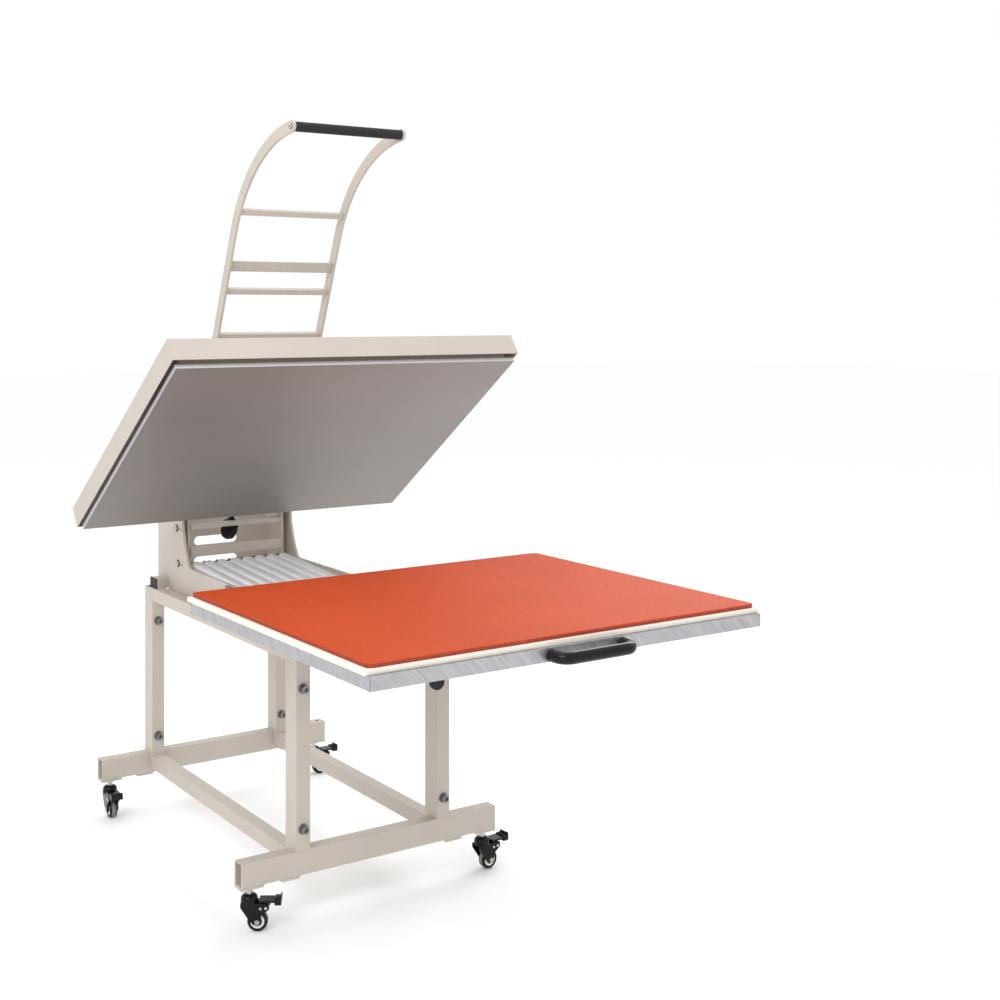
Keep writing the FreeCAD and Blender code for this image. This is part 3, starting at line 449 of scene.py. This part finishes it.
def block(bm, size, matrix, soft, segments=3, index=0):
    """A box centred on the matrix, with edges rounded by soft."""
    scale = Matrix.Diagonal((size[0] * MM, size[1] * MM, size[2] * MM, 1.0))
    made = bmesh.ops.create_cube(bm, size=1.0, matrix=matrix @ scale)
    corners = set(made["verts"])
    edges = [e for e in bm.edges if e.verts[0] in corners and e.verts[1] in corners]
    done = bmesh.ops.bevel(bm, geom=edges, offset=soft * MM, segments=segments, affect="EDGES", profile=0.5)
    for face in done["faces"]:
        face.material_index = index
    for vert in done["verts"]:
        for face in vert.link_faces:
            face.material_index = index


def sweep(bm, spots, radius, sides, ripple=0.0):
    """A rod of radius in millimetres along points in metres; ripple swells it by that share."""
    rings = []
    side = None
    last = len(spots) - 1
    for k, spot in enumerate(spots):
        way = (spots[min(k + 1, last)] - spots[max(k - 1, 0)]).normalized()
        if side is None:
            side = way.orthogonal().normalized()
        side = (side - way * side.dot(way)).normalized()
        up = way.cross(side)
        wide = radius * MM * (1.0 + ripple * math.sin(k * 2.4))
        ring = []
        for j in range(sides):
            a = math.tau * j / sides
            ring.append(bm.verts.new(spot + wide * (side * math.cos(a) + up * math.sin(a))))
        rings.append(ring)
    for low, high in zip(rings, rings[1:]):
        for j in range(sides):
            bm.faces.new((low[j], low[(j + 1) % sides], high[(j + 1) % sides], high[j]))
    bm.faces.new(rings[0])
    bm.faces.new(rings[-1])


BEAD_STEP = 0.0014


def bead(bm, start, end, size):
    """A rippled weld bead between two places on the stand."""
    a, b = at(*start).translation, at(*end).translation
    steps = max(3, int((b - a).length / BEAD_STEP))
    sweep(bm, [a.lerp(b, k / steps) for k in range(steps + 1)], size, 8, 0.16)


def piece(name, bm, materials, body, sharp=35.0):
    """Make the object, shade it smooth below the sharp angle in degrees, and let it ride a body."""
    bmesh.ops.recalc_face_normals(bm, faces=bm.faces)
    mesh = bpy.data.meshes.new(name)
    bm.to_mesh(mesh)
    bm.free()
    for key in materials:
        mesh.materials.append(MATERIALS[key])
    for face in mesh.polygons:
        face.use_smooth = True
    mesh.set_sharp_from_angle(angle=math.radians(sharp))
    obj = bpy.data.objects.new(name, mesh)
    bpy.context.scene.collection.objects.link(obj)
    if body:
        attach(obj, body)
    return obj


# ---------------------------------------------------------------- soft pieces of the drawer
CORNER_STEPS = 10
EDGE_STEP = 9.0  # greatest spacing of points round the outline, in millimetres
TOP_INSETS = (14.0, 60.0, 140.0, 240.0, 340.0)  # rings across the top, in from the outline
CUT_PITCH = 0.11  # noise per millimetre: along the cut sides, then across the top
WAVE_PITCH = 0.006


def slab_outline(half, front, rear, corner):
    """Points round a rectangle with rounded corners, in millimetres."""
    outline = []
    for cx, cy, start in ((half - corner, rear - corner, 0), (corner - half, rear - corner, 90),
                          (corner - half, front + corner, 180), (half - corner, front + corner, 270)):
        for k in range(CORNER_STEPS + 1):
            a = math.radians(start + 90.0 * k / CORNER_STEPS)
            outline.append(Vector((cx + corner * math.cos(a), cy + corner * math.sin(a))))
    dense = []
    for a, b in zip(outline, outline[1:] + outline[:1]):
        steps = max(1, int((b - a).length / EDGE_STEP))
        dense += [a.lerp(b, k / steps) for k in range(steps)]
    return dense


def slab(name, half, front, deep, low, thick, corner, lip, materials, wave, ragged):
    """A soft board: rounded corners, softened rims, a top uneven by wave and sides cut uneven by ragged."""
    bm = bmesh.new()
    outline = slab_outline(half, front, front + deep, corner)
    centre = Vector((0.0, front + deep / 2))
    top = low + thick
    levels = [(lip, low), (0.2, low + lip), (0.0, low + thick * 0.5), (0.1, top - lip),
              (lip * 0.5, top - 0.3), (lip * 1.2, top)] + [(inset, top) for inset in TOP_INSETS]
    rings = []
    for inset, z in levels:
        ring = []
        for spot in outline:
            away = spot - centre
            scale = Vector((1 - inset / half, 1 - inset / (deep / 2)))
            x = centre.x + away.x * scale.x
            y = centre.y + away.y * scale.y
            rough = lift = 0.0
            if inset < lip * 2:
                rough = ragged * noise.noise(Vector((spot.x, spot.y, z * 3.0)) * CUT_PITCH)
            if inset >= lip:
                lift = min(0.0, wave * (noise.noise(Vector((x, y, 0.0)) * WAVE_PITCH) - 0.4))
            push = away.normalized() * (rough - ragged * 0.5)
            ring.append(bm.verts.new(((x + push.x) * MM, (y + push.y) * MM + Y0, (z + lift) * MM)))
        rings.append(ring)
    count = len(outline)
    for level, (below, above) in enumerate(zip(rings, rings[1:])):
        for k in range(count):
            face = bm.faces.new((below[k], below[(k + 1) % count], above[(k + 1) % count], above[k]))
            face.material_index = 1 if level in (1, 2) else 0
    bm.faces.new(rings[-1])
    bm.faces.new(rings[0])
    return piece(name, bm, materials, "drawer", sharp=60.0)


def add_soft_boards():
    top = slab("silicone_sheet", 502, -816, 812, 824.0, 9.0, 14, 1.4,
               ["silicone", "silicone_edge"], 0.5, 0.35)
    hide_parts("silicone_pad")
    board = slab("felt_sheet", 513, -821, 819, 813.0, 11.0, 6, 0.8, ["felt", "felt_edge"], 0.0, 0.9)
    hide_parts("felt_board")


# ---------------------------------------------------------------- springs
SPRING_X = [(k - 3.5) * 40.5 for k in range(8)]
SPRING_LENGTH = 0.420
SPRING_DROP = math.radians(3.4)
REAR_END = Vector((0.0, 0.793 + Y0, 0.738))
FRONT_END = Vector((0.0, 0.793 - SPRING_LENGTH * math.cos(SPRING_DROP) + Y0,
                    0.738 - SPRING_LENGTH * math.sin(SPRING_DROP)))
REAR_BAR = Vector((0.0, 0.822 + Y0, 0.738))
FRONT_BAR = Vector((0.0, FRONT_END.y - 0.023, FRONT_END.z))
TURNS = 84
STEPS_PER_TURN = 18
WIRE = 2.45  # radius in millimetres
COIL = 17.6 - WIRE  # radius to the middle of the wire, in millimetres
HOOK = 0.0088  # bend radius in metres
HOOK_WIRE = 1.7  # radius in millimetres


def add_springs():
    bm = bmesh.new()
    along = (REAR_END - FRONT_END).normalized()
    across = Vector((1, 0, 0))
    up = across.cross(along)
    length = (REAR_END - FRONT_END).length
    steps = TURNS * STEPS_PER_TURN
    for x in SPRING_X:
        base = FRONT_END + Vector((x * MM, 0, 0))
        spots = []
        for k in range(steps + 1):
            a = math.tau * k / STEPS_PER_TURN
            radial = (across * math.cos(a) + up * math.sin(a)) * COIL * MM
            spots.append(base + along * (length * k / steps) + radial)
        sweep(bm, spots, WIRE, 5)
    coils = piece("spring_coils", bm, ["chrome"], None, sharp=80.0)
    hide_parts("counter_springs")
    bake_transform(coils)
    for name, body, end, way, bar in (("spring_hooks_rear", "head", REAR_END, 1.0, REAR_BAR),
                                      ("spring_hooks_front", "stand", FRONT_END, -1.0, FRONT_BAR)):
        bm = bmesh.new()
        for x in SPRING_X:
            shift = Vector((x * MM, 0, 0))
            spots = [end + shift + along * way * run + up * rise
                     for run, rise in ((-0.004, 0.0115), (0.002, 0.009), (0.007, HOOK))]
            for k in range(15):
                a = math.radians(90.0 - 19.0 * k)
                spots.append(bar + shift + Vector((0.0, way * HOOK * math.cos(a), HOOK * math.sin(a))))
            sweep(bm, spots, HOOK_WIRE, 8)
        piece(name, bm, ["dark_steel"], body, sharp=60.0)


# ---------------------------------------------------------------- casters, from the floor under each stem
STEMS = {  # x, y and the turn of the fork in degrees
    "front_left": (-341, 19, -33), "front_right": (341, 19, 4),
    "rear_left": (-341, 961, -95), "rear_right": (341, 961, 0),
}
WHEEL_CENTRE = (20, 0, 25)
WHEEL = [
    (4.1, -11), (10, -11), (10.6, -10.4), (11.2, -9.6), (12, -9.2), (17, -9.2), (17.6, -9.8),
    (18.4, -10.9), (21.5, -11), (24, -8.6), (24.9, -5.5), (25, 0), (24.9, 5.5), (24, 8.6),
    (21.5, 11), (18.4, 10.9), (17.6, 9.8), (17, 9.2), (12, 9.2), (11.2, 9.6), (10.6, 10.4),
    (10, 11), (4.1, 11)]
HUB_EDGE, RING_EDGE, TREAD_HALF = 11.0, 17.2, 7.0
STEM_NUT = [(0, 97), (9.2, 97), (9.6, 98), (9.6, 102), (9.2, 103), (0, 103)]
CUP = [(0, 66.6), (19.4, 66.6), (21.2, 68.4), (21.2, 72), (20.4, 73), (20.9, 74), (20.6, 80),
       (18.2, 85), (13.8, 88.2), (11, 88.8), (0, 88.8)]
CHEEK = 17  # y of the fork's outer faces
RIVETS = ((20, 25, 6.2, 3.4), (41, 59, 3.6, 1.8), (28, 58, 3.2, 1.6))  # x, z, radius, height; first the axle


def wheel_part(face, inverse):
    """The material of a wheel's face: 0 hub, 1 pale ring, 2 side of the tyre, 3 tread."""
    spot = inverse @ face.calc_center_median()
    out = math.hypot(spot.x, spot.y) / MM
    if out < HUB_EDGE or len(face.verts) > 4:
        return 0
    if out < RING_EDGE:
        return 1
    return 2 if abs(spot.z) / MM > TREAD_HALF else 3


def add_caster(tag):
    x, y, turn = STEMS[tag]
    base = at(x, y, 0) @ spin(turn, "Z")

    bm = bmesh.new()
    axle = base @ moved(*WHEEL_CENTRE) @ AXIS["Y"]
    lathe(bm, WHEEL, axle, 48)
    inverse = axle.inverted()
    for face in bm.faces:
        face.material_index = wheel_part(face, inverse)
    wheel = piece("wheel_" + tag + "_tyre", bm, ["gloss_black", "wheel_ring", "gloss_black", "tread"],
                  "wheel_" + tag, sharp=30.0)
    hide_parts("caster_wheel_" + tag)

    bm = bmesh.new()
    disc(bm, base, 7.6, 88, 96.5, 24)
    lathe(bm, STEM_NUT, base, 6)
    for side in SIDES:
        cheek = base @ moved(0, side * CHEEK, 0) @ spin(90.0 * side, "X").inverted()
        for px, pz, radius, tall in RIVETS:
            spot = Matrix.Translation(base.to_3x3() @ Vector((px * MM, 0, pz * MM))) @ cheek
            lathe(bm, [(0, 0), (radius, 0), (radius, tall * 0.3), (radius * 0.8, tall * 0.8), (0, tall)],
                  spot, 20)
    piece("caster_rivets_" + tag, bm, ["steel"], "fork_" + tag, sharp=30.0)

    bm = bmesh.new()
    lathe(bm, CUP, base, 40)
    piece("caster_cup_" + tag, bm, ["gloss_black"], "fork_" + tag)

    bm = bmesh.new()
    for k in range(5):
        block(bm, (1.6, 30, 1.4), base @ moved(64.5 + 2.9 * k, 0, 80.3), 0.5, 2)
    block(bm, (4.0, 33, 7.5), base @ moved(76.8, 0, 82.0), 1.6)
    piece("pedal_ribs_" + tag, bm, ["gloss_black"], "pedal_" + tag)


# ---------------------------------------------------------------- fasteners and welds of the stand
POST_X = 205
HALF_TUBE = 19
BOLT_Y = (0, 922)
BOLT_Z = (222, 565)
YOKE_OUTER, YOKE_INNER = 180, 172
YOKE_SCREWS = ((843, 849), (832, 747))  # y, z


def add_frame_fasteners():
    bm = bmesh.new()
    for x in (-POST_X, POST_X):
        for y in BOLT_Y:
            for z in BOLT_Z:
                lathe(bm, [(9.6, 0), (13.4, 0), (13.4, 2.2), (12.9, 2.8), (9.6, 2.8)],
                      at(x, y, z) @ TO_FRONT, 36)
    piece("bolt_washers", bm, ["dull_steel"], "stand")

    # each yoke screw: washer and button head outside, nut inside, and in front two thin black discs painted
    # as the shade inside two small holes
    bm = bmesh.new()
    for side in SIDES:
        for y, z in YOKE_SCREWS:
            out = at(side * YOKE_OUTER, y, z) @ outward(side)
            lathe(bm, [(0, 0), (10.5, 0), (10.5, 1.4), (10, 1.8), (0, 1.8)], out, 30, 1)
            dome_head(bm, out @ moved(0, 0, 1.8), 7.6, 5.2)
            lathe(bm, [(0, 0), (7.5, 0), (7.5, 5.5), (5.0, 8.0), (0, 9.5)],
                  at(side * YOKE_INNER, y, z) @ outward(-side), 6)
            # painted shade: black discs for the insides of two small holes
            for step in (-18, -31):
                disc(bm, at(side * YOKE_OUTER, y + step, z - 1) @ outward(side), 2.7, 0, 0.4, 14, 1)
    # the matt black hexagons and front discs are painted shade of the sockets and holes
    screws = piece("yoke_bolts", bm, ["steel", "matt_black"], "stand", sharp=30.0)
    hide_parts("yoke_screws")

    # a black disc painted as the shade inside a drain hole on the rear foot, and two studs on the rubber
    # bumper
    bm = bmesh.new()
    disc(bm, at(352, 961, 169.5), 5, 0, 0.3, 20)
    for x in (168.5, 192.5):
        lathe(bm, [(0, 0), (3.2, 0), (2.6, 1.6), (0, 2.0)], at(x, -12, 528) @ TO_FRONT, 16)
    piece("drain_hole_shade_and_bumper_studs", bm, ["matt_black"], "stand", sharp=30.0)


def add_welds():
    on_foot, under_foot, on_rail = 169.8, 109.2, 663
    bm = bmesh.new()
    for side in SIDES:
        inner, outer = side * (POST_X - HALF_TUBE), side * (POST_X + HALF_TUBE)
        # posts on the feet
        for y0, y1, back in ((0, 38, 38), (942, 980, 942)):
            bead(bm, (inner, y0 + 1, on_foot), (inner, y1 - 1, on_foot), 1.9)
            bead(bm, (outer, y0 + 1, on_foot), (outer, y1 - 1, on_foot), 1.9)
            bead(bm, (inner, back, on_foot), (outer, back, on_foot), 1.9)
        # uprights between the rails
        for y in (58, 922):
            for z in (163, 625):
                bead(bm, (inner + side * 2, y, z), (outer - side * 2, y, z), 1.6)
        # cross tubes on the top rails, and the yoke on the cross tubes
        for y0 in (60, 905):
            for y in (y0, y0 + 50):
                bead(bm, (inner, y, on_rail), (outer - side * 10, y, on_rail), 1.6)
            bead(bm, (side * 180.4, y0 + 2, 693.2), (side * 180.4, y0 + 48, 693.2), 1.8)
        # the yoke's plates on its back plate
        bead(bm, (side * 171.4, 964.6, 700), (side * 171.4, 964.6, 856), 2.0)
        bead(bm, (side * 172, 971.4, 672), (side * 172, 971.4, 856), 2.0)
    # caster and levelling plates under the feet
    for x, half in ((-341, 30), (-238, 24), (238, 24), (341, 30)):
        for y in (0, 942):
            for end in (x - half, x + half):
                bead(bm, (end, y + 0.4, under_foot), (end, y + 39, under_foot), 1.6)
    piece("stand_welds", bm, ["beige"], "stand", sharp=80.0)

    # the top bar and the middle bar between the head arms, placed as the head stands open
    bm = bmesh.new()
    for side in SIDES:
        for z in (846, 860):
            bead(bm, (side * 148.6, 810, z), (side * 148.6, 832, z), 1.5)
        for y in (807.8, 814.2):
            bead(bm, (side * 148.6, y, 768), (side * 148.6, y, 793), 1.5)
    piece("head_welds", bm, ["beige"], "head", sharp=80.0)


# ---------------------------------------------------------------- drawer
SLIDE_PARTS = (  # body, name, x, y of the front end, length
    ("stand", "slide_lips_fixed", 184.0, 10, 480),
    ("slide_middle", "slide_lips_middle", 192.5, -377.5, 725),
    ("drawer", "slide_lips_runner", 201.0, -420, 380),
)


def add_slides():
    """Rolled lips and rivets on the three members of each slide."""
    low, high = (corner.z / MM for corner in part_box("drawer_rails"))
    for body, name, x, y, length in SLIDE_PARTS:
        bm = bmesh.new()
        for side in SIDES:
            for z in (low + 2.2, high - 2.2):
                block(bm, (7.4, length - 6, 3.6), at(side * x, y + length / 2, z), 1.2)
            for k in range(6):
                rivet = at(side * x, y + length * (k + 0.5) / 6, (low + high) / 2, "X")
                disc(bm, rivet, 3.4, -4.3, 4.3, 16, 1)
        piece(name, bm, ["dull_steel", "dark_steel"], body)


def add_tray_details():
    bm = bmesh.new()
    for x in (-504.75, 504.75):
        for y in (-828.75, -14.25):
            block(bm, (0.8, 0.8, 28.4), at(x, y, 798.4), 0.2, 1)
    piece("tray_corner_seams", bm, ["matt_black"], "drawer")
    bm = bmesh.new()
    for x in (-300, 0, 300):
        block(bm, (24, 800, 12), at(x, -421.5, 804.5), 2.0)
    piece("tray_stiffeners", bm, ["tray"], "drawer")


# ---------------------------------------------------------------- head, control box and handle
ARM_OUTER = 157
ARM_SCREWS = ((-330, 1), (-262, 5), (-140, 52), (-112, 52), (0, 20), (24, 12))  # y, z
CASING_CORNER_X = 509.4
CASING_CORNER_Y = (-47.4, -875.6)


def add_head_details():
    # thin black strips painted as the shade inside the casing's vent slots
    bm = bmesh.new()
    for k in range(9):
        for row in (-760, -700):
            block(bm, (34, 4.5, 0.7), on_head(-176 + 44 * k, row, -9.85), 0.3, 2)
    piece("casing_vent_shade", bm, ["matt_black"], "head")
    bm = bmesh.new()
    for side in SIDES:
        for y, z in ARM_SCREWS:
            dome_head(bm, on_head(side * ARM_OUTER, y, z) @ outward(side), 5.4, 3.2)
        for k in range(5):
            dome_head(bm, on_head(side * 495, -90 - 180 * k, -10), 4.4, 2.4)
    # the matt black hexagons on these heads are painted shade of their sockets
    piece("head_screws", bm, ["dull_steel", "matt_black"], "head", sharp=30.0)
    bm = bmesh.new()
    for side in SIDES:
        for y in CASING_CORNER_Y:
            start = on_head(side * CASING_CORNER_X, y, -70.0).translation
            end = on_head(side * CASING_CORNER_X, y, -11.5).translation
            sweep(bm, [start.lerp(end, k / 40) for k in range(41)], 1.1, 8, 0.05)
    piece("casing_corner_seams", bm, ["beige"], "head", sharp=80.0)


def add_control_box():
    # the display panel
    face = on_head(348, -420, 26) @ TO_FRONT
    bm = bmesh.new()
    block(bm, (92, 44, 3.0), face @ moved(0, 0, 0.6), 1.4)
    piece("display_bezel", bm, ["matt_black"], "head")
    bm = bmesh.new()
    block(bm, (52, 26, 1.2), face @ moved(-14, 4, 2.2), 0.5)
    piece("display_window", bm, ["display"], "head")
    bm = bmesh.new()
    for k, x in enumerate((-34, -18, -2, 14)):
        lathe(bm, [(0, 0), (4.6, 0), (4.6, 1.2), (3.8, 2.0), (0, 2.2)], face @ moved(x, -15, 2.0), 24, k % 2)
    for y in (8, -4):
        lathe(bm, [(0, 0), (2.4, 0), (2.0, 1.4), (0, 2.0)], face @ moved(26, y, 2.0), 20, 2)
    piece("display_keys", bm, ["wheel_ring", "dull_steel", "lamp"], "head")

    # the power inlet
    rear = on_head(344, -290, 20) @ TO_REAR
    bm = bmesh.new()
    block(bm, (34, 26, 2.0), rear @ moved(0, 0, 0.6), 0.8)
    piece("inlet_frame", bm, ["matt_black"], "head")
    bm = bmesh.new()
    block(bm, (24, 16, 0.6), rear @ moved(0, 0, 1.7), 0.2)
    for x, y in ((-7, 1.5), (0, 0), (7, 1.5)):
        block(bm, (1.6, 4.6, 2.4), rear @ moved(x, y, 1.6), 0.4, 2, 1)
    piece("inlet_pins", bm, ["gloss_black", "steel"], "head")

    # the set button's ring and the rocker switch's frame
    bm = bmesh.new()
    lathe(bm, [(8.4, 0), (12.0, 0), (11.4, 2.4), (8.4, 2.8)], on_head(410, -420, 21) @ TO_FRONT, 36)
    piece("button_ring", bm, ["steel"], "head")
    bm = bmesh.new()
    switch = on_head(281, -420, 21) @ TO_FRONT
    for x, y, wide, tall in ((0, 16.7, 28, 3), (0, -16.7, 28, 3), (-12.9, 0, 3, 32), (12.9, 0, 3, 32)):
        block(bm, (wide, tall, 2.4), switch @ moved(x, y, 0.4), 0.7, 2)
    piece("switch_frame", bm, ["matt_black"], "head")


LEVER_SIDE = 167  # x of the outer faces of the ladder handle's arms
LEVER_HINGE = Vector((0, 0.760 + Y0, 1.029))


def add_handle_details():
    grip = sum(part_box("grip_screws"), Vector()) * 0.5
    bm = bmesh.new()
    for side in SIDES:
        spot = Matrix.Translation((side * LEVER_SIDE * MM, grip.y, grip.z)) @ outward(side)
        disc(bm, spot, 7.4, 0, 0.8, 30, 1)
        dome_head(bm, spot @ moved(0, 0, 0.8), 6.2, 4.0)
    # the matt black hexagons on these heads are painted shade of their sockets
    screws = piece("grip_button_screws", bm, ["steel", "matt_black"], "lever", sharp=30.0)
    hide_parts("grip_screws")

    bm = bmesh.new()
    for side in SIDES:
        spot = Matrix.Translation((side * LEVER_SIDE * MM, LEVER_HINGE.y, LEVER_HINGE.z)) @ outward(side)
        lathe(bm, [(0, 0), (15, 0), (15, 1.6), (14.4, 2.2), (0, 2.2)], spot, 36)
        lathe(bm, [(0, 2.2), (10.5, 2.2), (10.5, 8.6), (9.6, 9.4), (0, 9.4)], spot, 6)
    piece("lever_hub_nuts", bm, ["dull_steel"], "lever", sharp=30.0)

    # collars where the tray's bow handle meets the tray
    bm = bmesh.new()
    for side in SIDES:
        lathe(bm, [(0, 0), (13.0, 0), (13.4, 0.8), (13.4, 2.2), (12.6, 3.2), (0, 3.2)],
              at(10 + side * 93, -829, 797) @ TO_FRONT, 36)
    piece("bow_handle_collars", bm, ["gloss_black"], "drawer")


add_camera()
add_studio()
for name in NODES:
    dress_node(name)
add_soft_boards()
add_springs()
for tag in TAGS:
    add_caster(tag)
add_frame_fasteners()
add_welds()
add_slides()
add_head_details()
add_control_box()
add_handle_details()
add_tray_details()
